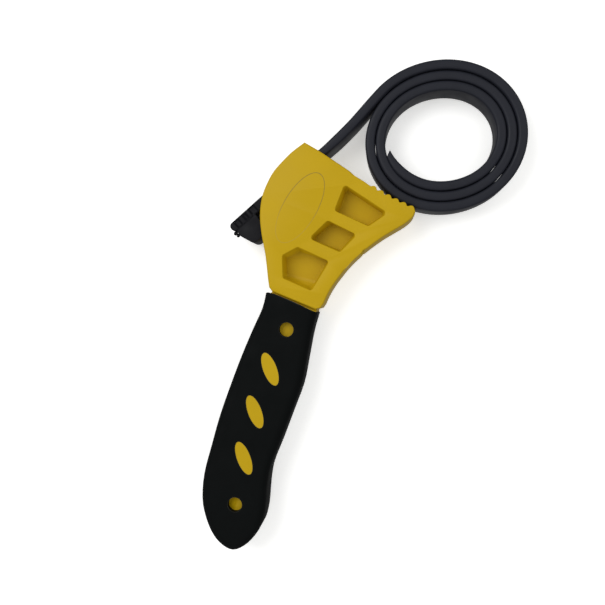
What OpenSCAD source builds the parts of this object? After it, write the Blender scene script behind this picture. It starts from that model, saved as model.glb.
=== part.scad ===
// Rubber strap wrench for oil filters.
// A yellow moulding is the head, the collar and the core of the handle.
// A black rubber sleeve covers the core, and a black rubber strap runs through the head.
// The strap is drawn as short links that turn about pins, so that it can uncoil.
// Frame: +X runs out of the mouth along the strap, +Z is the front face, Z = 0 is the back face.

/* [Head] */

// thickness of the head and of the handle
head_t = 26; // [24:0.5:34]
// depth of each blind pocket
pocket_d = 10; // [4:0.5:11]
// corner radius of the pockets
pocket_r = 1.7; // [0.5:0.1:3]
// number of teeth on the jaw
teeth = 6; // [3:1:8]
// height of a tooth
tooth_h = 1.3; // [0.5:0.1:2.5]

/* [Handle] */

// length of the grip sleeve
grip_len = 146.4; // [110:1:190]
// rubber over the flat sides of the core
grip_wall = 4; // [2:0.5:6]
// rubber around the edge of the core
grip_rim = 4.5; // [2:0.5:6]
// rounding of the sleeve's edges
grip_round = 5; // [2:0.5:7]
// thickness of the collar between head and sleeve
collar_t = 2.2; // [1:0.1:4]
// width of the groove between head and collar
groove_w = 0.75; // [0.3:0.05:1]
// diameter of the round windows
window_d = 8.2; // [5:0.1:12]
// length of the oval windows
oval_len = 19.6; // [12:0.2:26]
// width of the oval windows
oval_w = 7.8; // [4:0.1:12]
// lean of the oval windows from the handle's axis
oval_lean = 34.4; // [0:1:60]

/* [Strap] */

// width of the strap
strap_w = 20; // [14:0.5:22]
// thickness of the strap
strap_t = 4.3; // [3:0.1:4.6]
// clearance around the strap in its passages
strap_clear = 0.3; // [0.2:0.05:0.6]
// radius of the first turn of the coil
coil_r = 43.9; // [40:0.1:60]
// distance from one turn to the next
coil_pitch = 5.8; // [5:0.05:8]
// how far the coil is from round
coil_oval = 2.1; // [0:0.1:3]
// turning of one coil link
link_angle = 37.78; // [20:0.02:42]
// number of coil links
coil_links = 27; // [12:1:36]
// height of the coil above the table
coil_z = 0.3; // [0.1:0.1:3]
// how far the heel stands back from its seat
heel_travel = 8; // [4:0.5:10]
// length of the heel block along the strap
heel_len = 14; // [8:0.5:18]
// depth of the heel block beside the strap
heel_depth = 13.9; // [8:0.5:16]

/* [Hidden] */

black = [0.05, 0.05, 0.06];
yellow = [0.80, 0.66, 0.14];
fine = 48;
oval_steps = 40;
oval_sink = 0.2;

// passages: the strap's own channel lies on Y = 0, the return slot lies beside it
strap_z = (head_t - strap_w) / 2;
passage_h = strap_w + 2 * strap_clear;
passage_z = strap_z - strap_clear;
channel_t = strap_t + 2 * strap_clear;
slot_wall = 1.3;
slot_y = channel_t + slot_wall;
through = 80;

// heel
heel_seat_x = -21;
heel_strip_t = 5.3;
heel_strip_tilt = 3;
heel_end_x = heel_seat_x - heel_travel - heel_len;
strip_start_x = -18;
strip_y = (strap_t - heel_strip_t) / 2;
recess_end_x = strip_start_x + heel_travel + 1.6;
heel_low = heel_depth + heel_strip_t / 2;
heel_high = heel_strip_t / 2 + 1.5;
strip_drop = heel_strip_t - strap_t / 2 + (strip_start_x - heel_end_x - heel_len) * sin(heel_strip_tilt);

// handle: its own axes start at the neck, X runs to the far end
neck = [-43.1, -56];
handle_turn = -141.7;
core_z = grip_wall;
core_t = head_t - 2 * grip_wall;
grip_longer = grip_len - 146.4;
grip_cap_x = 108;
collar_line = [[-1.2, -12.6], [2.1, 14.6]];
collar_root = collar_t + 1;
collar_step = 1.2;
groove_d = 2.5;

// strap chain: two lead-in links, then the coil
lead_points = [[24, 0], [44, 1.8]];
lead_links = len(lead_points);
link_count = lead_links + coil_links;
coil_start = 100.5;
coil_long_axis = -27;
coil_centre = [79.8, -36.2] + (coil_r - 43.9) * [1.3, -0.2];
half_t = strap_t / 2;
pin_r = half_t - 0.05;
pin_clear = 0.3;
drop_links = 7;

function pad(i) = i < 10 ? str("0", i) : str(i);
function link_name(i) = str("strap_link_", pad(i));

function coil_point(a) =
    let (t = coil_start - a, r = coil_r - coil_pitch * a / 360 + coil_oval * cos(2 * (t - coil_long_axis)))
    coil_centre + r * [cos(t), sin(t)];
function pin(i) = i < lead_links ? lead_points[i] : coil_point((i - lead_links) * link_angle);
function heading(a, b) = atan2(b[1] - a[1], b[0] - a[0]);
// how far the strap turns, clockwise, from one end of coil link i to the other
function link_arc(i) =
    let (a = (i - lead_links - 1) * link_angle, h = 1)
    (heading(coil_point(a - h), coil_point(a + h))
        - heading(coil_point(a + link_angle - h), coil_point(a + link_angle + h)) + 360) % 360;
function link_z(i) = coil_z + (strap_z - coil_z) * max(0, 1 - i / drop_links);

// smooth curve through points, with n steps from each point to the next
function spline_at(a, b, c, d, t) =
    0.5 * (2 * b + (c - a) * t + (2 * a - 5 * b + 4 * c - d) * t * t + (3 * b - a - 3 * c + d) * t * t * t);
function smooth(p, n) =
    let (last = len(p) - 1)
    [for (i = [0 : last - 1], k = [0 : n - 1])
        spline_at(p[max(i - 1, 0)], p[i], p[i + 1], p[min(i + 2, last)], k / n),
     p[last]];

// inward normal of the edge from a to b of a counter-clockwise outline
function inward(a, b) = [a[1] - b[1], b[0] - a[0]] / norm(b - a);

// closed outline moved inwards by d
function inset(p, d) =
    let (n = len(p))
    [for (i = [0 : n - 1])
        let (u = inward(p[(i + n - 1) % n], p[i]), v = inward(p[i], p[(i + 1) % n]))
        p[i] + d * (u + v) / (1 + u * v)];

// the same for an outline whose two ends lie on one straight edge and stay on it
function inset_open(p, d) =
    let (n = len(p))
    [for (i = [0 : n - 1])
        let (u = inward(p[max(i - 1, 0)], p[max(i, 1)]), v = inward(p[min(i, n - 2)], p[min(i + 1, n - 1)]))
        p[i] + d * (u + v) / (1 + u * v)];

// closed outline whose corners are rounded by r, in n steps
function rounded(p, r, n) =
    let (m = len(p), c = inset(p, r))
    [for (i = [0 : m - 1], k = [0 : n])
        let (u = inward(p[(i + m - 1) % m], p[i]), v = inward(p[i], p[(i + 1) % m]),
            w = u * (1 - k / n) + v * k / n)
        c[i] - r * w / norm(w)];

// head outline, counter-clockwise from the corner above the mouth
back_edge = [[17.7, 10], [8.9, 10.3], [1.2, 9.5], [-5.9, 8.2], [-12.1, 5.7], [-18.7, 2],
    [-24.2, -2.8], [-28.7, -8.2], [-32.9, -14.8], [-35.9, -20.5], [-38.6, -25.7], [-42, -31.4],
    [-46, -37.7], [-48.4, -41.8]];
neck_edge = [[-48.5, -44.6], [-35.3, -67.7], [-32.6, -68.9]];
front_edge = [[-30, -68.1], [-25.6, -65.8], [-19.7, -63.4], [-12.1, -61.3], [-4.8, -59.7],
    [3.7, -58.9], [11.6, -58.8], [19.4, -59.2], [27.2, -60.2], [33.4, -61], [38.5, -60.8],
    [41.6, -59.6]];
jaw_start = [42.7, -57.4];
jaw_end = [31.6, -31.6];
jaw_bow = 0.6;
jaw_smooth = [[30.1, -28.4], [28.1, -22.8], [27.5, -19.2], [25.8, -13.4], [23.6, -6.6], [21.2, 0.8]];
tooth_profile = [[0, 0.35], [0.18, 0.9], [0.36, 1], [0.54, 0.75], [0.76, 0.1], [0.9, 0]];

function jaw_at(u) =
    let (d = jaw_end - jaw_start, n = [d[1], -d[0]] / norm(d))
    jaw_start + d * u - n * jaw_bow * sin(180 * u);
function jaw_normal() = let (d = jaw_end - jaw_start) [d[1], -d[0]] / norm(d);
jaw_teeth = [for (k = [0 : teeth - 1], q = tooth_profile)
    jaw_at((k + q[0]) / teeth) + jaw_normal() * tooth_h * (q[1] - 0.5)];

head_outline = concat(smooth(back_edge, 4), neck_edge, smooth(front_edge, 3), jaw_teeth,
    smooth(jaw_smooth, 2));

pockets = [
    [[20.5, -22.8], [7.1, -30.7], [16.7, -49.7], [29.4, -50.4]],
    [[0.8, -32.7], [-13.6, -34.2], [-4.7, -51.2], [8.6, -49.4]],
    [[-21.6, -33.9], [-31.4, -32.2], [-39.1, -42.6], [-30.7, -58.3], [-12.6, -51.5]],
];

// handle outline in the handle's own axes
grip_points = [[-1.7, -16], [8, -16], [21, -18.5], [38, -21.3], [58, -23.8], [75, -25.4], [92, -26],
    [108, -26.3], [121.7, -24.1], [131, -20.1], [139, -14.5], [144, -8.5], [146.4, -1.5], [144.4, 4],
    [137.6, 9.4], [128, 12.9], [118, 12.9], [105, 10.9], [94, 10.2], [80, 12.2], [62, 14.4],
    [45, 16.4], [30, 15.8], [14, 15], [2.2, 15.4]];

// place along the handle: a longer sleeve stretches up to its rounded end and moves that end
function grip_x(x) = x < grip_cap_x ? x * (1 + grip_longer / grip_cap_x) : x + grip_longer;
grip_outline = [for (q = smooth(grip_points, 3)) [grip_x(q[0]), q[1]]];
core_rim = inset_open(grip_outline, grip_rim);

// plan of the core, which leaves the sleeve through its open end at X = start
core_end = len(core_rim) - 1;
function core_plan(start) = concat([[start, core_rim[0][1]]], core_rim, [[start, core_rim[core_end][1]]]);
round_windows = [[16.2, 0.8], [119.7, -4.2]];
oval_windows = [[40.1, -2.9], [65.7, -5.6], [92.8, -5.5]];

module in_handle() {
    translate([neck[0], neck[1], 0]) rotate([0, 0, handle_turn]) children();
}

function oval_outline() =
    [for (k = [0 : oval_steps - 1])
        let (a = 360 * k / oval_steps, x = oval_len / 2 * cos(a), y = oval_w / 2 * sin(a))
        [x * cos(oval_lean) - y * sin(oval_lean), x * sin(oval_lean) + y * cos(oval_lean)]];

// the collar, a lip that stands off the head's lower edge by a groove in both faces
module collar() {
    edge = neck_edge[1] - neck_edge[0];
    past = 0.15 * edge;
    out = [cos(handle_turn), sin(handle_turn)];
    difference() {
        in_handle() translate([0, 0, collar_step]) linear_extrude(head_t - 2 * collar_step)
            polygon(concat(collar_line, [for (k = [1, 0]) collar_line[k] - [collar_root, 0]]));
        for (z = [collar_step - 1, head_t - collar_step - groove_d])
            translate([0, 0, z]) linear_extrude(groove_d + 1) polygon([neck_edge[0] - past - out,
                neck_edge[1] + past - out, neck_edge[1] + past + groove_w * out,
                neck_edge[0] - past + groove_w * out]);
    }
}

// the yellow moulding: head, collar, handle core and the raised ovals
module wrench_body() {
    color(yellow) {
        difference() {
            linear_extrude(head_t) polygon(head_outline);
            // channel of the strap
            translate([heel_seat_x, -channel_t / 2, passage_z]) cube([through, channel_t, passage_h]);
            // slot in which the free end comes back
            translate([-through / 2, slot_y - channel_t / 2, passage_z])
                cube([through, channel_t, passage_h]);
            // wider stretch of the channel, in which the strip of the heel slides
            translate([recess_end_x - through, -strip_drop - strap_clear, passage_z])
                cube([through, strip_drop + strap_clear + channel_t / 2, passage_h]);
            // pocket in which the heel seats
            translate([heel_seat_x - through, -heel_low - 2 * strap_clear, passage_z])
                cube([through, heel_low + heel_high + 3 * strap_clear, passage_h]);
            for (p = pockets, z = [-1, head_t - pocket_d])
                translate([0, 0, z]) linear_extrude(pocket_d + 1) polygon(rounded(p, pocket_r, 6));
        }
        collar();
        in_handle() {
            translate([0, 0, core_z]) linear_extrude(core_t) polygon(core_plan(-collar_root));
            for (w = oval_windows) translate([grip_x(w[0]), w[1], oval_sink])
                linear_extrude(head_t - 2 * oval_sink) polygon(oval_outline());
        }
    }
}

// rings of a rounded edge: each is [height, inset]; the outermost ring stands past the face
function edge_rings(r, n) =
    [for (k = [1 : n]) [r * (1 - cos(90 * k / n)), r * (1 - sin(90 * k / n))]];
function past_face(q, r) = [-q[0], 2 * r - q[1]];

// slab of height h with edges rounded by r; the faces are cut flat at Z = 0 and Z = h
module rounded_slab(outline, h, r) {
    low = edge_rings(r, 4);
    half = concat([past_face(low[0], r)], low);
    rings = concat(half, [for (k = [len(half) - 1 : -1 : 0]) [h - half[k][0], half[k][1]]]);
    n = len(outline);
    m = len(rings);
    points = [for (q = rings, v = inset_open(outline, q[1])) [v[0], v[1], q[0]]];
    sides = [for (j = [0 : m - 2], i = [0 : n - 1], turn = [0, 1])
        let (a = j * n + i, b = j * n + (i + 1) % n, c = a + n, d = b + n)
        turn == 0 ? [a, c, d] : [a, d, b]];
    bottom = [[for (i = [0 : n - 1]) i]];
    top = [[for (i = [n - 1 : -1 : 0]) (m - 1) * n + i]];
    intersection() {
        polyhedron(points, concat(bottom, sides, top));
        translate([-h, -4 * h, 0]) cube([9 * h, 8 * h, h]);
    }
}

module grip_sleeve() {
    color(black) in_handle() difference() {
        rounded_slab(grip_outline, head_t, grip_round);
        translate([0, 0, core_z]) linear_extrude(core_t) polygon(core_plan(-collar_root));
        for (w = round_windows) translate([grip_x(w[0]), w[1], -1])
            cylinder(d = window_d, h = head_t + 2, $fn = fine);
        for (w = oval_windows) translate([grip_x(w[0]), w[1], -1])
            linear_extrude(head_t + 2) polygon(oval_outline());
    }
}

// the strap's fixed end: heel block, ribbed strip and the stretch inside the head
module strap_heel() {
    r = 2;
    color(black) translate([0, 0, strap_z]) linear_extrude(strap_w) {
        translate([strip_start_x - 1, -half_t]) square([pin(0)[0] - strip_start_x + 1, strap_t]);
        translate(pin(0)) circle(r = pin_r, $fn = fine);
        translate([strip_start_x, strip_y]) rotate(heel_strip_tilt) {
            translate([heel_end_x - strip_start_x, -heel_strip_t / 2])
                square([strip_start_x - heel_end_x, heel_strip_t]);
            translate([heel_end_x - strip_start_x, 0]) circle(d = heel_strip_t, $fn = fine);
        }
        translate([heel_end_x, r - heel_low]) square([heel_len, heel_depth + 1 - r]);
        translate([heel_end_x + r, -heel_low]) square([heel_len - 2 * r, r + 1]);
        for (x = [r, heel_len - r]) translate([heel_end_x + x, r - heel_low]) circle(r = r, $fn = fine);
    }
}

// plan of a link of length c that turns through arc degrees: socket at the origin, pin at [c, 0]
module link_plan(c, arc) {
    difference() {
        union() {
            translate([c, 0]) circle(r = pin_r, $fn = fine);
            if (arc == 0) translate([0, -half_t]) square([c, strap_t]);
            else {
                r = c / 2 / sin(arc / 2);
                far = 2 * r;
                translate([c / 2, -r * cos(arc / 2)]) intersection() {
                    difference() {
                        circle(r = r + half_t, $fn = 180);
                        circle(r = r - half_t, $fn = 180);
                    }
                    polygon([[0, 0], far * [sin(arc / 2), cos(arc / 2)], [0, 2 * far],
                        far * [-sin(arc / 2), cos(arc / 2)]]);
                }
            }
        }
        circle(r = half_t + pin_clear, $fn = fine);
    }
}

module strap_link(i) {
    a = pin(i - 1);
    d = pin(i) - a;
    color(black) translate([a[0], a[1], link_z(i)]) rotate([0, 0, atan2(d[1], d[0])])
        linear_extrude(strap_w) link_plan(norm(d), i > lead_links ? link_arc(i) : 0);
}

wrench_body();
grip_sleeve();
strap_heel();
for (i = [1 : link_count]) strap_link(i);
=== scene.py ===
"""Strap wrench for oil filters: the yellow moulding, its rubber grip and the coiled rubber strap."""

import math

import bmesh
import bpy
from mathutils import Matrix, Vector


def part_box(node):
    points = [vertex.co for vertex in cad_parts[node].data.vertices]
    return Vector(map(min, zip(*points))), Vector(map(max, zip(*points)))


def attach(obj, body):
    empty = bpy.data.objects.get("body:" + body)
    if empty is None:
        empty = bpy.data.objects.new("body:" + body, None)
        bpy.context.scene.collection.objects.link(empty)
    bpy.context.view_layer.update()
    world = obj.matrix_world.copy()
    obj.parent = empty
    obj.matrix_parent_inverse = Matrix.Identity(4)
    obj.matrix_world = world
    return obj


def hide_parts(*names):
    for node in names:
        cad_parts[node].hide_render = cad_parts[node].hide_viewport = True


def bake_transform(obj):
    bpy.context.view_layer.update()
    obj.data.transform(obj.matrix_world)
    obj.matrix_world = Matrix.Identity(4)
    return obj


bl_info = {
    "name": "Strap Wrench",
    "version": (1, 0, 0),
    "blender": (4, 5, 0),
    "location": "3D View > Sidebar > Strap Wrench",
    "description": "Builds a rubber strap wrench around its packed solids",
    "category": "Object",
}

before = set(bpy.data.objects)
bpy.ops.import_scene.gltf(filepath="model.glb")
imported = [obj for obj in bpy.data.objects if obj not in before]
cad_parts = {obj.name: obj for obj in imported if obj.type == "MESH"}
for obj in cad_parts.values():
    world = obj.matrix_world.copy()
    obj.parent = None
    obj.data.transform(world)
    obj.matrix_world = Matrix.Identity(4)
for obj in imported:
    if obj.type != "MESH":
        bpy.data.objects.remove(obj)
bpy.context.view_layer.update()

MM = 0.001

# places in the part's own frame, in millimetres and degrees, as in the solids
NECK = Vector((-43.1, -56.0, 0.0))
HANDLE_TURN = math.radians(-141.7)
POCKET_FLOOR = 16.0
COLLAR = 2.2
# the line between collar and sleeve, as (along, across) the handle
COLLAR_LINE = ((-1.2, -12.6), (2.1, 14.6))
# points of the head's outline that lie close to a pocket
OUTLINE_NEAR_POCKETS = [(-42.0, -31.4), (-46.0, -37.7), (-48.4, -41.8)]

# the strap's pins: two lead-in links, then the coil
LEAD_POINTS = [(24.0, 0.0), (44.0, 1.8)]
LEAD_LINKS = len(LEAD_POINTS)
COIL_CENTRE = Vector((79.8, -36.2))
COIL_START = 100.5
COIL_LONG_AXIS = -27.0
COIL_Z = 0.3
LINK_ANGLE = 37.78
COIL_LINKS = 27
LINKS = LEAD_LINKS + COIL_LINKS
DROP_LINKS = 7

# what the solids don't have: the collar's added width, the cuts that thin the neck,
# the thinner strap inside the head, and the free end that turns outwards and runs on
COLLAR_WIDER = 0.5
COLLAR_REACH = 0.3
NECK_CUTS = (-15.0, -12.0, -9.0, -6.0, -3.2)
HEAD_STEP = 16.0
IN_HEAD_SHARE = 0.82
END_FLICK = 1.7
END_FLICK_LINKS = 1.1
END_OVER = 0.1

HEAD_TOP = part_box("wrench_body")[1].z / MM
STRAP_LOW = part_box("strap_heel")[0].z / MM


# ---------------------------------------------------------------- settings


class MouldingSettings(bpy.types.PropertyGroup):
    """Sizes and colours of the yellow moulding"""

    edge: bpy.props.FloatProperty(
        name="Edge Radius", description="Rounding of the moulding's outer edges, in millimetres",
        default=0.9, min=0.1, max=1.2)
    draft: bpy.props.FloatProperty(
        name="Pocket Draft", description="How far the pocket walls lean in at the floor, in millimetres",
        default=1.9, min=0.0, max=3.0)
    neck_taper: bpy.props.FloatProperty(
        name="Neck Taper", description="Share of its thickness that the head loses at the neck",
        default=0.07, min=0.0, max=0.3)
    colour: bpy.props.FloatVectorProperty(
        name="Yellow", description="Colour of the moulded plastic", subtype="COLOR", size=3,
        default=(0.50, 0.325, 0.0035), min=0.0, max=1.0)
    # Edge Yellow is painted highlight: a paler yellow laid along the edges for the light their rounding
    # catches
    edge_highlight_colour: bpy.props.FloatVectorProperty(
        name="Edge Yellow", description="Paler colour of the highlit edges", subtype="COLOR", size=3,
        default=(0.66, 0.46, 0.045), min=0.0, max=1.0)


class GripSettings(bpy.types.PropertyGroup):
    """Colours and finish of the rubber grip"""

    colour: bpy.props.FloatVectorProperty(
        name="Grip Black", description="Colour of the grip's rubber", subtype="COLOR", size=3,
        default=(0.0022, 0.0030, 0.0030), min=0.0, max=1.0)
    edge: bpy.props.FloatProperty(
        name="Window Edge", description="Rounding of the window edges, in millimetres",
        default=0.35, min=0.05, max=0.6)


class StrapSettings(bpy.types.PropertyGroup):
    """Sizes and colours of the strap"""

    thickness: bpy.props.FloatProperty(
        name="Thickness", description="Thickness of the strap, in millimetres",
        default=5.45, min=3.0, max=5.6)
    width: bpy.props.FloatProperty(
        name="Width", description="Width of the strap, in millimetres",
        default=20.0, min=14.0, max=22.0)
    edge: bpy.props.FloatProperty(
        name="Edge Radius", description="Rounding of the strap's long edges, in millimetres",
        default=1.5, min=0.1, max=2.0)
    coil_radius: bpy.props.FloatProperty(
        name="Coil Radius", description="Radius of the coil's first turn, in millimetres",
        default=43.9, min=40.0, max=60.0)
    coil_pitch: bpy.props.FloatProperty(
        name="Coil Pitch", description="Distance from turn to turn, in millimetres",
        default=5.8, min=5.0, max=8.0)
    coil_oval: bpy.props.FloatProperty(
        name="Coil Oval", description="How far the coil is from round, in millimetres",
        default=2.1, min=0.0, max=3.0)
    colour: bpy.props.FloatVectorProperty(
        name="Strap Black", description="Colour of the strap's rubber", subtype="COLOR", size=3,
        default=(0.0085, 0.0095, 0.0145), min=0.0, max=1.0)
    # Heel Black is the strap's rubber made darker: painted shade on the heel's flat top, which faces the
    # lamps
    heel_shaded_colour: bpy.props.FloatVectorProperty(
        name="Heel Black", description="Colour of the matt rubber of the heel", subtype="COLOR", size=3,
        default=(0.0050, 0.0050, 0.0068), min=0.0, max=1.0)


class StageSettings(bpy.types.PropertyGroup):
    """Camera, lights and floor"""

    height: bpy.props.FloatProperty(
        name="Camera Height", description="Height of the camera over the floor",
        default=0.460, min=0.2, max=2.0, subtype="DISTANCE", unit="LENGTH")
    focal: bpy.props.FloatProperty(
        name="Focal Length", description="Focal length in sensor widths",
        default=1.2843, min=0.5, max=5.0)
    floor: bpy.props.FloatVectorProperty(
        name="Floor", description="Colour of the floor", subtype="COLOR", size=3,
        default=(0.93, 0.93, 0.92), min=0.0, max=1.0)


# ---------------------------------------------------------------- geometry helpers


def new_piece(name, bm, material, body=None, replaces=()):
    """Turns a bmesh in millimetres into a finished piece."""
    bmesh.ops.scale(bm, vec=(MM, MM, MM), verts=bm.verts)
    mesh = bpy.data.meshes.new(name)
    bm.to_mesh(mesh)
    bm.free()
    piece = bpy.data.objects.new(name, mesh)
    bpy.context.scene.collection.objects.link(piece)
    mesh.materials.append(material)
    if body:
        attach(piece, body)
    if replaces:
        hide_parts(*replaces)
    return piece


def node_copy(node):
    """A merged copy of a CAD node's mesh, in millimetres."""
    bm = bmesh.new()
    bm.from_mesh(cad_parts[node].data)
    bmesh.ops.scale(bm, vec=(1 / MM, 1 / MM, 1 / MM), verts=bm.verts)
    bmesh.ops.remove_doubles(bm, verts=bm.verts, dist=0.002)
    bmesh.ops.dissolve_limit(bm, angle_limit=math.radians(0.5), verts=bm.verts, edges=bm.edges)
    return bm


def shade(piece, angle=32.0):
    """Smooth shading that stays sharp past an angle, in degrees."""
    for face in piece.data.polygons:
        face.use_smooth = abs(face.normal.z) < 0.9995
    piece.data.set_sharp_from_angle(angle=math.radians(angle))


def add_bevel(piece, width, segments=3, angle=35.0):
    bevel = piece.modifiers.new("Edges", "BEVEL")
    bevel.width = width * MM
    bevel.segments = segments
    bevel.limit_method = "ANGLE"
    bevel.angle_limit = math.radians(angle)
    bevel.harden_normals = False
    bevel.use_clamp_overlap = True
    return bevel


def handle_axes(point):
    """Along and across the handle, from the neck."""
    d = Vector((point.x, point.y, 0.0)) - NECK
    c, s = math.cos(HANDLE_TURN), math.sin(HANDLE_TURN)
    return d.x * c + d.y * s, -d.x * s + d.y * c


def handle_direction():
    return Vector((math.cos(HANDLE_TURN), math.sin(HANDLE_TURN), 0.0))


def widen_collar(bm):
    """Moves what lies on the line between collar and sleeve a little down the handle."""
    (x0, y0), (x1, y1) = COLLAR_LINE
    for v in bm.verts:
        along, across = handle_axes(v.co)
        line = x0 + (across - y0) * (x1 - x0) / (y1 - y0)
        if abs(along - line) < COLLAR_REACH:
            v.co += handle_direction() * COLLAR_WIDER


# ---------------------------------------------------------------- the strap's route


def coil_point(turned):
    """Centre of the strap, in millimetres, after so many degrees of coil."""
    s = bpy.context.scene.wrench_strap
    t = COIL_START - turned
    r = (s.coil_radius - s.coil_pitch * turned / 360
         + s.coil_oval * math.cos(math.radians(2 * (t - COIL_LONG_AXIS))))
    return COIL_CENTRE + r * Vector((math.cos(math.radians(t)), math.sin(math.radians(t))))


def pin(i):
    """Where link i ends and link i + 1 begins."""
    if i < LEAD_LINKS:
        return Vector(LEAD_POINTS[i])
    return coil_point((i - LEAD_LINKS) * LINK_ANGLE)


def spline(a, b, c, d, t):
    """Point between b and c on a smooth curve through a, b, c and d."""
    return 0.5 * (2 * b + (c - a) * t + (2 * a - 5 * b + 4 * c - d) * t * t
                  + (3 * b - a - 3 * c + d) * t * t * t)


def route(u):
    """Centre of the strap at u, where whole numbers are the pins."""
    if u >= LEAD_LINKS:
        flick = max(0.0, (u - LINKS + END_FLICK_LINKS) / END_FLICK_LINKS)
        p = coil_point((u - LEAD_LINKS) * LINK_ANGLE)
        return p + (p - COIL_CENTRE).normalized() * END_FLICK * flick ** 2
    if u < 0:
        return Vector((LEAD_POINTS[0][0] + u * HEAD_STEP, 0.0))
    i = int(u)
    before = pin(i - 1) if i else Vector((LEAD_POINTS[0][0] - HEAD_STEP, 0.0))
    after = pin(i + 2) if i + 2 <= LEAD_LINKS else coil_point(LINK_ANGLE / 2)
    return spline(before, pin(i), pin(i + 1), after, u - i)


def route_low(u):
    """Height of the strap's lower edge at u."""
    return COIL_Z + (STRAP_LOW - COIL_Z) * min(1.0, max(0.0, 1 - (u + 0.5) / DROP_LINKS))


def strap_section(edge, steps=3):
    """Rounded outline of the strap as (across, up) from its centre."""
    s = bpy.context.scene.wrench_strap
    x, z = s.thickness / 2 - edge, s.width / 2 - edge
    corners = [(x, -z, -90), (x, z, 0), (-x, z, 90), (-x, -z, 180)]
    return [(cx + edge * math.cos(math.radians(a + 90 * k / steps)),
             cz + edge * math.sin(math.radians(a + 90 * k / steps)))
            for cx, cz, a in corners for k in range(steps + 1)]


def strap_bmesh(start, end, steps, section, tip=None):
    """A stretch of strap between two route values, closed at both ends; tip thins its end."""
    s = bpy.context.scene.wrench_strap
    bm = bmesh.new()
    rings = []
    for k in range(steps + 1):
        u = start + (end - start) * k / steps
        p = route(u)
        t = (route(u + 0.01) - route(u - 0.01)).normalized()
        left = Vector((-t.y, t.x))
        mid = route_low(u) + s.width / 2
        thin, lean = tip(k / steps) if tip else (1.0, 0.0)
        thin *= IN_HEAD_SHARE + (1 - IN_HEAD_SHARE) * min(1.0, max(0.0, u + 0.5))
        ring = []
        for a, z in section:
            place = p + left * a * thin - t * a * lean
            ring.append(bm.verts.new((place.x, place.y, mid + z)))
        rings.append(ring)
    loops = []
    for ring in rings:
        n = len(ring)
        loops.append([bm.edges.new((ring[i], ring[(i + 1) % n])) for i in range(n)])
    for low, high in zip(loops, loops[1:]):
        bmesh.ops.bridge_loops(bm, edges=low + high)
    bmesh.ops.contextual_create(bm, geom=loops[0])
    bmesh.ops.contextual_create(bm, geom=loops[-1])
    bmesh.ops.recalc_face_normals(bm, faces=bm.faces)
    return bm


# ---------------------------------------------------------------- materials


def node(tree, kind, **inputs):
    n = tree.nodes.new(kind)
    for key, value in inputs.items():
        n.inputs[key.replace("_", " ")].default_value = value
    return n


def group_sockets(tree, ins, outs):
    for name, kind, value in ins:
        socket = tree.interface.new_socket(name, in_out="INPUT", socket_type=kind)
        if value is not None:
            socket.default_value = value
    for name, kind in outs:
        tree.interface.new_socket(name, in_out="OUTPUT", socket_type=kind)
    return tree.nodes.new("NodeGroupInput"), tree.nodes.new("NodeGroupOutput")


def moulded_surface_group():
    """Height of a moulded surface: fine grain over slow unevenness, and a mottle mask."""
    tree = bpy.data.node_groups.new("MouldedSurface", "ShaderNodeTree")
    gin, gout = group_sockets(
        tree,
        [("Grain Scale", "NodeSocketFloat", 900.0), ("Wave Scale", "NodeSocketFloat", 60.0),
         ("Wave Share", "NodeSocketFloat", 0.5)],
        [("Height", "NodeSocketFloat"), ("Mottle", "NodeSocketFloat")])
    coord = tree.nodes.new("ShaderNodeTexCoord")
    grain = node(tree, "ShaderNodeTexNoise", Detail=3.0, Roughness=0.6)
    wave = node(tree, "ShaderNodeTexNoise", Detail=2.0, Roughness=0.5)
    mix = tree.nodes.new("ShaderNodeMix")
    for n, socket in ((grain, "Grain Scale"), (wave, "Wave Scale")):
        tree.links.new(coord.outputs["Object"], n.inputs["Vector"])
        tree.links.new(gin.outputs[socket], n.inputs["Scale"])
    tree.links.new(gin.outputs["Wave Share"], mix.inputs["Factor"])
    tree.links.new(grain.outputs["Fac"], mix.inputs["A"])
    tree.links.new(wave.outputs["Fac"], mix.inputs["B"])
    tree.links.new(mix.outputs["Result"], gout.inputs["Height"])
    tree.links.new(wave.outputs["Fac"], gout.inputs["Mottle"])
    return tree


def edge_highlight_group():
    """Mask that is 1 along edges, broken up by noise; it places the painted highlight on the edges."""
    tree = bpy.data.node_groups.new("EdgeHighlight", "ShaderNodeTree")
    gin, gout = group_sockets(
        tree, [("Radius", "NodeSocketFloat", 0.0006), ("Most", "NodeSocketFloat", 0.9)],
        [("Mask", "NodeSocketFloat")])
    geometry = tree.nodes.new("ShaderNodeNewGeometry")
    rounding = tree.nodes.new("ShaderNodeBevel")
    turned = tree.nodes.new("ShaderNodeVectorMath")
    turned.operation = "DOT_PRODUCT"
    ramp = node(tree, "ShaderNodeMapRange", From_Min=0.985, From_Max=0.90)
    coord = tree.nodes.new("ShaderNodeTexCoord")
    noise = node(tree, "ShaderNodeTexNoise", Scale=220.0, Detail=3.0)
    breakup = tree.nodes.new("ShaderNodeMath")
    breakup.operation = "MULTIPLY"
    tree.links.new(gin.outputs["Radius"], rounding.inputs["Radius"])
    tree.links.new(rounding.outputs["Normal"], turned.inputs[0])
    tree.links.new(geometry.outputs["Normal"], turned.inputs[1])
    tree.links.new(turned.outputs["Value"], ramp.inputs["Value"])
    tree.links.new(gin.outputs["Most"], ramp.inputs["To Max"])
    tree.links.new(coord.outputs["Object"], noise.inputs["Vector"])
    tree.links.new(ramp.outputs["Result"], breakup.inputs[0])
    tree.links.new(noise.outputs["Fac"], breakup.inputs[1])
    tree.links.new(breakup.outputs["Value"], gout.inputs["Mask"])
    return tree


def shared_group(name, make):
    return bpy.data.node_groups.get(name) or make()


def place_group(tree, group, **values):
    n = tree.nodes.new("ShaderNodeGroup")
    n.node_tree = group
    for key, value in values.items():
        n.inputs[key.replace("_", " ")].default_value = value
    return n


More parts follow.
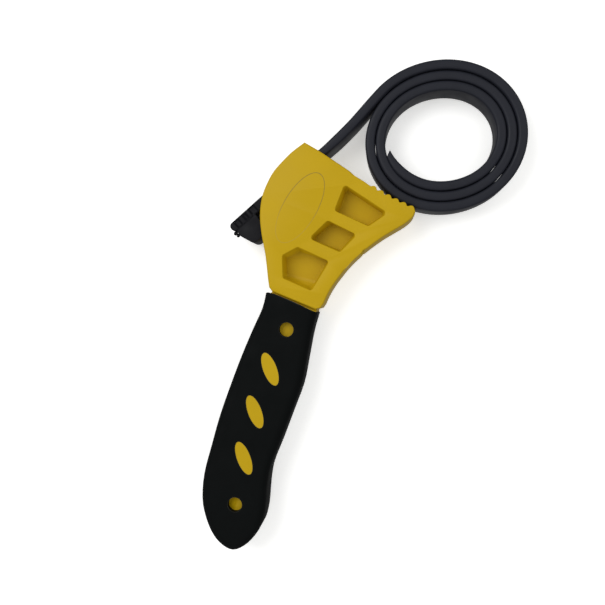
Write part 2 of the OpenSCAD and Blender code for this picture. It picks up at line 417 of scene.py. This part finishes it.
def material_base(name, colour):
    """A material with its Principled shader; returns material, tree and shader."""
    material = bpy.data.materials.new(name)
    material.use_nodes = True
    material.diffuse_color = (*colour, 1.0)
    tree = material.node_tree
    shader = tree.nodes["Principled BSDF"]
    shader.inputs["Base Color"].default_value = (*colour, 1.0)
    return material, tree, shader


def mixed_colour(tree, factor, a, b, share=1.0):
    """Colour that goes from a to b with a factor socket."""
    scale = tree.nodes.new("ShaderNodeMath")
    scale.operation = "MULTIPLY"
    scale.inputs[1].default_value = share
    mix = tree.nodes.new("ShaderNodeMix")
    mix.data_type = "RGBA"
    tree.links.new(factor, scale.inputs[0])
    tree.links.new(scale.outputs["Value"], mix.inputs["Factor"])
    mix.inputs["A"].default_value = (*a, 1.0)
    mix.inputs["B"].default_value = (*b, 1.0)
    return mix


def bump(tree, shader, height, strength, distance):
    n = tree.nodes.new("ShaderNodeBump")
    n.inputs["Strength"].default_value = strength
    n.inputs["Distance"].default_value = distance
    tree.links.new(height, n.inputs["Height"])
    tree.links.new(n.outputs["Normal"], shader.inputs["Normal"])
    return n


def rough_range(tree, shader, factor, low, high):
    n = tree.nodes.new("ShaderNodeMapRange")
    n.inputs["From Min"].default_value = 0.3
    n.inputs["From Max"].default_value = 0.7
    n.inputs["To Min"].default_value = low
    n.inputs["To Max"].default_value = high
    tree.links.new(factor, n.inputs["Value"])
    tree.links.new(n.outputs["Result"], shader.inputs["Roughness"])


def yellow_plastic():
    s = bpy.context.scene.wrench_moulding
    material, tree, shader = material_base("YellowPlastic", s.colour)
    surface = place_group(tree, shared_group("MouldedSurface", moulded_surface_group),
                          Grain_Scale=1400.0, Wave_Scale=45.0, Wave_Share=0.45)
    edge_highlight = place_group(tree, shared_group("EdgeHighlight", edge_highlight_group))
    darker = tuple(c * 0.93 for c in s.colour)
    lighter = tuple(min(1.0, c * 1.05) for c in s.colour)
    mottle = mixed_colour(tree, surface.outputs["Mottle"], darker, lighter)
    # the edges are mixed towards the paler yellow as painted highlight
    mix = tree.nodes.new("ShaderNodeMix")
    mix.data_type = "RGBA"
    tree.links.new(edge_highlight.outputs["Mask"], mix.inputs["Factor"])
    tree.links.new(mottle.outputs["Result"], mix.inputs["A"])
    mix.inputs["B"].default_value = (*s.edge_highlight_colour, 1.0)
    tree.links.new(mix.outputs["Result"], shader.inputs["Base Color"])
    rough_range(tree, shader, surface.outputs["Mottle"], 0.42, 0.52)
    shader.inputs["Specular IOR Level"].default_value = 0.14
    bump(tree, shader, surface.outputs["Height"], 0.12, 0.0003)
    return material


def grip_rubber():
    s = bpy.context.scene.wrench_grip
    material, tree, shader = material_base("GripRubber", s.colour)
    surface = place_group(tree, shared_group("MouldedSurface", moulded_surface_group),
                          Grain_Scale=2200.0, Wave_Scale=80.0, Wave_Share=0.3)
    edge_highlight = place_group(tree, shared_group("EdgeHighlight", edge_highlight_group))
    # painted highlight: the grip's edges are mixed towards grey
    mix = mixed_colour(tree, edge_highlight.outputs["Mask"], s.colour, (0.05, 0.05, 0.05))
    tree.links.new(mix.outputs["Result"], shader.inputs["Base Color"])
    rough_range(tree, shader, surface.outputs["Mottle"], 0.62, 0.74)
    shader.inputs["Specular IOR Level"].default_value = 0.07
    bump(tree, shader, surface.outputs["Height"], 0.2, 0.0003)
    return material


def strap_rubber():
    s = bpy.context.scene.wrench_strap
    material, tree, shader = material_base("StrapRubber", s.colour)
    surface = place_group(tree, shared_group("MouldedSurface", moulded_surface_group),
                          Grain_Scale=1600.0, Wave_Scale=90.0, Wave_Share=0.35)
    dusty = tuple(c * 1.7 + 0.002 for c in s.colour)
    mix = mixed_colour(tree, surface.outputs["Mottle"], s.colour, dusty, 0.8)
    tree.links.new(mix.outputs["Result"], shader.inputs["Base Color"])
    rough_range(tree, shader, surface.outputs["Mottle"], 0.42, 0.58)
    shader.inputs["Specular IOR Level"].default_value = 0.2
    bump(tree, shader, surface.outputs["Height"], 0.18, 0.0003)
    return material


def heel_rubber():
    s = bpy.context.scene.wrench_strap
    # the heel's base colour is darker than the strap's as painted shade
    material, tree, shader = material_base("HeelRubber", s.heel_shaded_colour)
    surface = place_group(tree, shared_group("MouldedSurface", moulded_surface_group),
                          Grain_Scale=1200.0, Wave_Scale=140.0, Wave_Share=0.5)
    edge_highlight = place_group(tree, shared_group("EdgeHighlight", edge_highlight_group))
    # painted highlight: the heel's edges are mixed towards a lighter grey
    mix = mixed_colour(tree, edge_highlight.outputs["Mask"], s.heel_shaded_colour, (0.022, 0.022, 0.026))
    tree.links.new(mix.outputs["Result"], shader.inputs["Base Color"])
    rough_range(tree, shader, surface.outputs["Mottle"], 0.5, 0.66)
    shader.inputs["Specular IOR Level"].default_value = 0.14
    bump(tree, shader, surface.outputs["Height"], 0.3, 0.0004)
    return material


def engraved_line():
    s = bpy.context.scene.wrench_moulding
    # The line's dark colour is painted shade of an engraved groove; the line itself is a thin strip just
    # proud of the face.
    groove_shade = tuple(c * 0.30 for c in s.colour)
    material, tree, shader = material_base("EngravedLine", groove_shade)
    surface = place_group(tree, shared_group("MouldedSurface", moulded_surface_group),
                          Grain_Scale=1400.0, Wave_Scale=70.0, Wave_Share=0.6)
    # the painted groove shade fades into the plastic towards the neck
    coord = tree.nodes.new("ShaderNodeTexCoord")
    place = tree.nodes.new("ShaderNodeMapping")
    place.inputs["Rotation"].default_value = (0.0, 0.0, math.radians(52.0))
    parts = tree.nodes.new("ShaderNodeSeparateXYZ")
    fade = tree.nodes.new("ShaderNodeMapRange")
    fade.inputs["From Min"].default_value = -0.026
    fade.inputs["From Max"].default_value = -0.012
    tree.links.new(coord.outputs["Object"], place.inputs["Vector"])
    tree.links.new(place.outputs["Vector"], parts.inputs["Vector"])
    tree.links.new(parts.outputs["Y"], fade.inputs["Value"])
    line = mixed_colour(tree, surface.outputs["Mottle"], groove_shade, tuple(c * 0.6 for c in s.colour))
    mix = tree.nodes.new("ShaderNodeMix")
    mix.data_type = "RGBA"
    tree.links.new(fade.outputs["Result"], mix.inputs["Factor"])
    mix.inputs["A"].default_value = (*(c * 0.85 for c in s.colour), 1.0)
    tree.links.new(line.outputs["Result"], mix.inputs["B"])
    tree.links.new(mix.outputs["Result"], shader.inputs["Base Color"])
    rough_range(tree, shader, surface.outputs["Mottle"], 0.5, 0.6)
    bump(tree, shader, surface.outputs["Height"], 0.1, 0.0002)
    return material


def get_material(name, make):
    return bpy.data.materials.get(name) or make()


# ---------------------------------------------------------------- operators


class WRENCH_OT_moulding(bpy.types.Operator):
    """Builds the yellow head, collar and handle core"""

    bl_idname = "wrench.moulding"
    bl_label = "Yellow Moulding"

    # middles of the three pockets, and how far from its middle a pocket reaches
    pockets = [(18.4, -38.4), (-2.2, -41.9), (-27.1, -44.1)]
    pocket_reach = 19.0
    # the two ends of the toothed jaw, and how far its teeth reach to either side
    jaw = (Vector((42.7, -57.4)), Vector((31.6, -31.6)))
    jaw_reach = 2.5
    rim_angle = 0.6
    fine_share = 0.4
    outline_gap = 3.2
    neck_half_width = 40.0
    neck_curve = 1.6
    flat_tolerance = 0.02
    floor_tolerance = 0.05

    def execute(self, context):
        s = context.scene.wrench_moulding
        bm = node_copy("wrench_body")
        widen_collar(bm)
        self.draft_pockets(bm, s.draft)
        self.bevel_rims(bm, s.edge)
        self.taper_neck(bm, s.neck_taper)
        piece = new_piece("head_and_core", bm, get_material("YellowPlastic", yellow_plastic),
                          body="wrench", replaces=("wrench_body",))
        shade(piece, 38.0)
        return {"FINISHED"}

    def draft_pockets(self, bm, draft):
        """Leans the pocket walls in by drawing each floor towards its middle."""
        for x, y in self.pockets:
            middle = Vector((x, y))
            floor = [v for v in bm.verts
                     if (v.co.xy - middle).length < self.pocket_reach
                     and min(abs(v.co.z - z) for z in (POCKET_FLOOR, HEAD_TOP - POCKET_FLOOR))
                     < self.floor_tolerance]
            if not floor:
                raise RuntimeError("no pocket floor near %s" % middle)
            for v in floor:
                away = v.co.xy - middle
                v.co.xy = middle + away * (1 - draft / away.length)

    def near_jaw(self, p):
        a, b = self.jaw
        along = max(-0.1, min(1.2, (p.xy - a).dot(b - a) / (b - a).length_squared))
        return (p.xy - a - (b - a) * along).length < self.jaw_reach

    def bevel_rims(self, bm, edge):
        """Rounds the rims of both faces: wide on the outline, fine at the teeth and pockets."""
        def rim(e):
            a, b = (v.co for v in e.verts)
            flat = (min(abs(a.z), abs(a.z - HEAD_TOP)) < self.flat_tolerance
                    and abs(a.z - b.z) < self.flat_tolerance)
            return flat and len(e.link_faces) == 2 and e.calc_face_angle(0.0) > self.rim_angle

        def in_pocket(p):
            return (any((p.xy - Vector(m)).length < self.pocket_reach for m in self.pockets)
                    and all((p.xy - Vector(q)).length > self.outline_gap for q in OUTLINE_NEAR_POCKETS))

        rims = [e for e in bm.edges if rim(e)]
        fine, wide = [], []
        for e in rims:
            middle = (e.verts[0].co + e.verts[1].co) / 2
            (fine if self.near_jaw(middle) or in_pocket(middle) else wide).append(e)
        for edges, offset, segments in ((wide, edge, 3), (fine, edge * self.fine_share, 2)):
            bmesh.ops.bevel(bm, geom=[e for e in edges if e.is_valid], offset=offset,
                            offset_type="OFFSET", affect="EDGES", segments=segments, profile=0.5,
                            clamp_overlap=False, material=-1)

    def taper_neck(self, bm, share):
        """Thins the head towards the neck, in a few cuts across the handle's axis."""
        direction = handle_direction()
        for along in NECK_CUTS:
            bmesh.ops.bisect_plane(bm, geom=list(bm.verts) + list(bm.edges) + list(bm.faces),
                                   plane_co=NECK + direction * along, plane_no=direction, dist=0.001)
        middle = HEAD_TOP / 2
        start, end = NECK_CUTS[0], NECK_CUTS[-1]
        for v in bm.verts:
            along, across = handle_axes(v.co)
            if start < along < -COLLAR - 0.1 and abs(across) < self.neck_half_width:
                t = min(1.0, (along - start) / (end - start))
                v.co.z = middle + (v.co.z - middle) * (1 - share * t ** self.neck_curve)


class WRENCH_OT_grip(bpy.types.Operator):
    """Builds the rubber grip sleeve"""

    bl_idname = "wrench.grip"
    bl_label = "Grip"

    def execute(self, context):
        s = context.scene.wrench_grip
        bm = node_copy("grip_sleeve")
        widen_collar(bm)
        piece = new_piece("rubber_grip", bm, get_material("GripRubber", grip_rubber),
                          body="wrench", replaces=("grip_sleeve",))
        shade(piece, 60.0)
        add_bevel(piece, s.edge, 2, 60.0)
        return {"FINISHED"}


class WRENCH_OT_strap(bpy.types.Operator):
    """Builds the free length of the strap, one stretch over each bend"""

    bl_idname = "wrench.strap"
    bl_label = "Strap"

    # steps along one stretch and along the free end
    steps = 12
    tip_steps = 16
    # the first bend starts at the mouth, where the head lets go of the strap
    first_bend = -0.05
    # the free end thins and is cut on a slant
    tip_thin = 0.6
    tip_curve = 1.5
    tip_lean = 0.55

    def execute(self, context):
        s = context.scene.wrench_strap
        section = strap_section(s.edge)
        material = get_material("StrapRubber", strap_rubber)
        bodies = ["strap_heel"] + [f"strap_link_{i:02d}" for i in range(1, LINKS + 1)]
        for i in range(LINKS):
            bm = strap_bmesh(i - 0.5, i + 0.5, self.steps, section)
            piece = new_piece(f"strap_bend_{i + 1:02d}", bm, material)
            shade(piece, 40.0)
            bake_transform(piece)
            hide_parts(bodies[i + 1])
        bm = strap_bmesh(LINKS - 0.5, LINKS + END_OVER, self.tip_steps, section, self.tip)
        piece = new_piece("strap_free_end", bm, material, body=bodies[-1])
        shade(piece, 40.0)
        return {"FINISHED"}

    def tip(self, share):
        """Thickness share and slant of the free end, whose inner edge reaches further."""
        return 1 - (1 - self.tip_thin) * share ** self.tip_curve, self.tip_lean * share ** 2

    @staticmethod
    def point(p, width):
        """A place on the route in metres, at half the strap's width."""
        return (p.x * MM, p.y * MM, (STRAP_LOW + width / 2) * MM)


class WRENCH_OT_heel(bpy.types.Operator):
    """Builds the heel of the strap and the stretch inside the head"""

    bl_idname = "wrench.heel"
    bl_label = "Strap Heel"

    # the strip leans by this turn about its front end; its own axes start there
    lean = math.radians(3.0)
    strip_start = Vector((-18.0, -0.5))
    strip_t = 5.3
    strip_over = 0.5
    strip_end_share = 0.9
    strip_round = 0.45
    end_x = -43.0
    # the block's outline, counter-clockwise, with a corner radius for each point
    block_corners = [((-29.2, -16.5), 2.2), ((-29.2, -2.6), 0.4), ((-43.6, -4.3), 0.8),
                     ((-43.6, -8.4), 2.0), ((-40.2, -16.5), 3.4)]
    # how far the block stands back from the strap's two edges
    block_low_gap = 0.4
    block_high_gap = 0.5
    block_round = 0.9
    # the web that ties block and strip: ends past the heel's end, depths about the strip's underside
    web_ends = (1.8, 14.0)
    web_depths = (1.5, 1.6)
    web_into_strip = 0.8
    web_gaps = (1.2, 2.2)
    # cast recesses in the strip's front edge: place from its round end, length, side clearance
    recesses = [(0.9, 3.9, 0.8), (6.9, 3.3, 1.15), (11.9, 4.6, 0.7)]
    rib_depth = 1.3
    rim_angle = 0.6
    # bumps left by the mould: place and radius, with one shape, turn and depth for both
    nubs = [((-44.9, -5.0), 1.15), ((-44.5, -6.9), 1.05)]
    nub_shape = (1.2, 0.95, 1.3)
    nub_turn = math.radians(20.0)
    nub_depth = 2.6

    def execute(self, context):
        self.material = get_material("HeelRubber", heel_rubber)
        width = context.scene.wrench_strap.width
        low, high = STRAP_LOW, STRAP_LOW + width
        self.strip(low, high)
        self.block(low, high)
        self.nub(high)
        section = strap_section(context.scene.wrench_strap.edge)
        start = (self.strip_start.x - 1.0 - LEAD_POINTS[0][0]) / HEAD_STEP
        bm = strap_bmesh(start, -0.5, 4, section)
        self.material = get_material("StrapRubber", strap_rubber)
        self.finish("strap_in_head", bm, ())
        return {"FINISHED"}

    def finish(self, name, bm, replaces):
        piece = new_piece(name, bm, self.material, body="strap_heel", replaces=replaces)
        shade(piece, 40.0)
        return piece

    def leaned(self, x, y):
        """A place in the strip's own axes, moved to the part's frame."""
        c, s = math.cos(self.lean), math.sin(self.lean)
        return self.strip_start.x + x * c - y * s, self.strip_start.y + x * s + y * c

    def strip(self, low, high):
        """The strip with its round end and the cast recesses in its front edge."""
        half = self.strip_t / 2
        length = self.strip_start.x - self.end_x
        outline = [(self.strip_over, -half), (self.strip_over, half)]
        outline += [(-length - half * math.sin(math.radians(a)) * self.strip_end_share,
                     half * math.cos(math.radians(a))) for a in range(0, 181, 15)]
        bm = self.slab([self.leaned(x, y) for x, y in outline], low, high)
        for at, wide, side in self.recesses:
            self.recess(bm, at - length, wide, side, high)
        self.round_rims(bm, self.strip_round)
        self.finish("heel_strip", bm, ("strap_heel",))

    def recess(self, bm, x, wide, side, high):
        """A shallow recess in the strip's front edge, from x on, wide along the strip."""
        across = Vector((math.cos(self.lean), math.sin(self.lean), 0.0))

        def front():
            return [f for f in bm.faces if f.normal.z > 0.9 and f.calc_center_median().z > high - 0.1]

        for at in (x, x + wide):
            geom = {part for f in front() for part in (f, *f.edges, *f.verts)}
            bmesh.ops.bisect_plane(bm, geom=list(geom), plane_co=(*self.leaned(at, 0.0), 0.0),
                                   plane_no=across, dist=0.001)
        middle = Vector((*self.leaned(x + wide / 2, 0.0), high))
        cell = min(front(), key=lambda f: (f.calc_center_median() - middle).length)
        bmesh.ops.inset_individual(bm, faces=[cell], thickness=side, depth=0.0, use_even_offset=True)
        bmesh.ops.translate(bm, verts=cell.verts, vec=(0, 0, -self.rib_depth))

    def block(self, low, high):
        """The block below the strip, parted from it by a groove."""
        outline = []
        for k, (corner, radius) in enumerate(self.block_corners):
            before = Vector(self.block_corners[k - 1][0])
            after = Vector(self.block_corners[(k + 1) % len(self.block_corners)][0])
            outline += self.rounded_corner(before, Vector(corner), after, radius)
        bm = self.slab(outline, low + self.block_low_gap, high - self.block_high_gap)
        self.round_rims(bm, self.block_round)
        self.finish("heel_block", bm, ())
        left, right = (self.end_x + x for x in self.web_ends)
        web = [(x, self.strip_floor(x) - depth) for x, depth in zip((left, right), self.web_depths)]
        web += [(x, self.strip_floor(x) + self.web_into_strip) for x in (right, left)]
        self.finish("heel_web", self.slab(web, low + self.web_gaps[0], high - self.web_gaps[1]), ())

    @staticmethod
    def rounded_corner(before, corner, after, radius, steps=5):
        """Points of an arc that rounds a corner of an outline."""
        u, v = (before - corner).normalized(), (after - corner).normalized()
        half = u.angle(v) / 2
        start, end = corner + u * radius / math.tan(half), corner + v * radius / math.tan(half)
        centre = corner + (u + v).normalized() * radius / math.sin(half)
        points = []
        for k in range(steps + 1):
            p = start.lerp(end, k / steps)
            points.append(centre + (p - centre).normalized() * radius)
        return [tuple(p) for p in points]

    def strip_floor(self, x):
        """Where the strip's underside lies, across the strap, at x."""
        return self.leaned(x - self.strip_start.x, -self.strip_t / 2)[1]

    def nub(self, high):
        """Two small bumps at the block's end, left by the mould."""
        for k, ((x, y), r) in enumerate(self.nubs):
            bm = bmesh.new()
            bmesh.ops.create_uvsphere(bm, u_segments=20, v_segments=12, radius=r)
            bmesh.ops.scale(bm, vec=self.nub_shape, verts=bm.verts)
            bmesh.ops.rotate(bm, verts=bm.verts, matrix=Matrix.Rotation(self.nub_turn, 3, "Z"))
            bmesh.ops.translate(bm, verts=bm.verts, vec=(x, y, high - self.nub_depth))
            self.finish(f"heel_nub_{k + 1}", bm, ())

    @staticmethod
    def slab(outline, low, high):
        """An upright slab over an outline, closed at both faces."""
        bm = bmesh.new()
        verts = [bm.verts.new((x, y, low)) for x, y in outline]
        face = bm.faces.new(verts)
        made = bmesh.ops.extrude_face_region(bm, geom=[face])
        bmesh.ops.translate(bm, verts=[v for v in made["geom"] if isinstance(v, bmesh.types.BMVert)],
                            vec=(0, 0, high - low))
        bmesh.ops.recalc_face_normals(bm, faces=bm.faces)
        return bm

    def round_rims(self, bm, offset):
        rims = [e for e in bm.edges if e.calc_face_angle(0.0) > self.rim_angle]
        bmesh.ops.bevel(bm, geom=rims, offset=offset, offset_type="OFFSET", affect="EDGES",
                        segments=3, profile=0.5, clamp_overlap=True, material=-1)


class WRENCH_OT_oval(bpy.types.Operator):
    """Builds the thin oval line on the front face of the head"""

    bl_idname = "wrench.oval"
    bl_label = "Oval Line"

    middle = (-7.0, -17.5)
    half_axes = (22.0, 9.5)
    turn = math.radians(21.5)
    line = 0.17
    proud = 0.02
    sunk = 0.3
    steps = 96

    def execute(self, context):
        bm = bmesh.new()
        rings = []
        for grow in (-self.line, self.line):
            ring = []
            for k in range(self.steps):
                a = 2 * math.pi * k / self.steps
                x, y = (self.half_axes[0] + grow) * math.cos(a), (self.half_axes[1] + grow) * math.sin(a)
                ring.append(bm.verts.new((
                    self.middle[0] + x * math.cos(self.turn) - y * math.sin(self.turn),
                    self.middle[1] + x * math.sin(self.turn) + y * math.cos(self.turn),
                    HEAD_TOP + self.proud)))
            rings.append([bm.edges.new((ring[k - 1], ring[k])) for k in range(self.steps)])
        ribbon = bmesh.ops.bridge_loops(bm, edges=rings[0] + rings[1])["faces"]
        made = bmesh.ops.extrude_face_region(bm, geom=ribbon)["geom"]
        bmesh.ops.translate(bm, verts=[v for v in made if isinstance(v, bmesh.types.BMVert)],
                            vec=(0, 0, -self.sunk))
        bmesh.ops.recalc_face_normals(bm, faces=bm.faces)
        piece = new_piece("oval_line", bm, get_material("EngravedLine", engraved_line),
                          body="wrench")
        shade(piece, 40.0)
        return {"FINISHED"}


class WRENCH_OT_stage(bpy.types.Operator):
    """Sets the floor, the lights and the camera"""

    bl_idname = "wrench.stage"
    bl_label = "Stage"

    # the view's turn in the part's frame, the point under the camera, and the camera's lean
    view_turn = math.radians(38.0)
    nadir = (-2.3, -88.7)
    lean = math.atan(82.54 / 777.0)
    sensor = 36.0
    floor_size = 3000.0
    floor_gap = 0.05
    far_clip = 50.0
    # lamps that all face one point: name, place in millimetres, size in metres, power in watts
    lit_point = (-20, -60, 10)
    lamps = (("key_light", (-200, 450, 750), 0.7, 4.6), ("fill_light", (500, -150, 650), 0.8, 1.6),
             ("front_light", (-300, -550, 600), 0.8, 1.2))
    sky = 0.36

    def execute(self, context):
        s = context.scene.wrench_stage
        self.floor(s)
        self.camera(context, s)
        self.lights(context)
        return {"FINISHED"}

    def floor(self, s):
        bm = bmesh.new()
        bmesh.ops.create_grid(bm, x_segments=1, y_segments=1, size=self.floor_size)
        bmesh.ops.translate(bm, verts=bm.verts, vec=(0, 0, -self.floor_gap))
        material, tree, shader = material_base("Floor", s.floor)
        shader.inputs["Roughness"].default_value = 0.9
        shader.inputs["Specular IOR Level"].default_value = 0.1
        shader.inputs["Emission Color"].default_value = (1.0, 1.0, 0.985, 1.0)
        shader.inputs["Emission Strength"].default_value = 0.42
        floor = new_piece("floor", bm, material)
        # the floor takes shadows but throws no light back at the tool's sides
        floor.visible_diffuse = False
        floor.visible_glossy = False

    def camera(self, context, s):
        data = bpy.data.cameras.new("Camera")
        data.sensor_width = self.sensor
        data.lens = self.sensor * s.focal
        data.clip_end = self.far_clip
        camera = bpy.data.objects.new("Camera", data)
        context.scene.collection.objects.link(camera)
        right = Vector((math.cos(self.view_turn), -math.sin(self.view_turn), 0.0))
        up = Vector((math.sin(self.view_turn), math.cos(self.view_turn), 0.0))
        down = Vector((0, 0, -1))
        # the camera leans towards the view's left, away from the point under it
        look = (down * math.cos(self.lean) - right * math.sin(self.lean)).normalized()
        side = (right * math.cos(self.lean) + down * math.sin(self.lean)).normalized()
        top = side.cross(look)
        roll = Matrix((side, top, -look)).transposed()
        camera.matrix_world = Matrix.Translation(
            (self.nadir[0] * MM, self.nadir[1] * MM, s.height)) @ roll.to_4x4()
        context.scene.camera = camera

    def lights(self, context):
        centre = Vector(self.lit_point) * MM
        for name, place, size, power in self.lamps:
            data = bpy.data.lights.new(name, "AREA")
            data.shape = "DISK"
            data.size = size
            data.energy = power
            light = bpy.data.objects.new(name, data)
            light.location = Vector(place) * MM
            light.rotation_euler = (centre - light.location).to_track_quat("-Z", "Y").to_euler()
            context.scene.collection.objects.link(light)
        world = bpy.data.worlds.new("World")
        world.use_nodes = True
        background = world.node_tree.nodes["Background"]
        background.inputs["Color"].default_value = (1.0, 1.0, 1.0, 1.0)
        background.inputs["Strength"].default_value = self.sky
        context.scene.world = world
        context.scene.view_settings.view_transform = "Standard"


class WRENCH_PT_panel(bpy.types.Panel):
    """Lists the wrench's pieces"""

    bl_idname = "WRENCH_PT_panel"
    bl_label = "Strap Wrench"
    bl_space_type = "VIEW_3D"
    bl_region_type = "UI"
    bl_category = "Strap Wrench"

    def draw(self, context):
        column = self.layout.column()
        for operator in OPERATORS:
            column.operator(operator.bl_idname)


OPERATORS = (WRENCH_OT_moulding, WRENCH_OT_oval, WRENCH_OT_grip, WRENCH_OT_heel, WRENCH_OT_strap,
             WRENCH_OT_stage)
SETTINGS = {"wrench_moulding": MouldingSettings, "wrench_grip": GripSettings,
            "wrench_strap": StrapSettings, "wrench_stage": StageSettings}


def register():
    for cls in (*SETTINGS.values(), *OPERATORS, WRENCH_PT_panel):
        bpy.utils.register_class(cls)
    for name, cls in SETTINGS.items():
        setattr(bpy.types.Scene, name, bpy.props.PointerProperty(type=cls))


def unregister():
    for name in SETTINGS:
        delattr(bpy.types.Scene, name)
    for cls in reversed((*SETTINGS.values(), *OPERATORS, WRENCH_PT_panel)):
        bpy.utils.unregister_class(cls)


def main():
    register()
    bpy.ops.wrench.moulding()
    bpy.ops.wrench.oval()
    bpy.ops.wrench.grip()
    bpy.ops.wrench.heel()
    bpy.ops.wrench.strap()
    bpy.ops.wrench.stage()


if __name__ == "__main__":
    main()
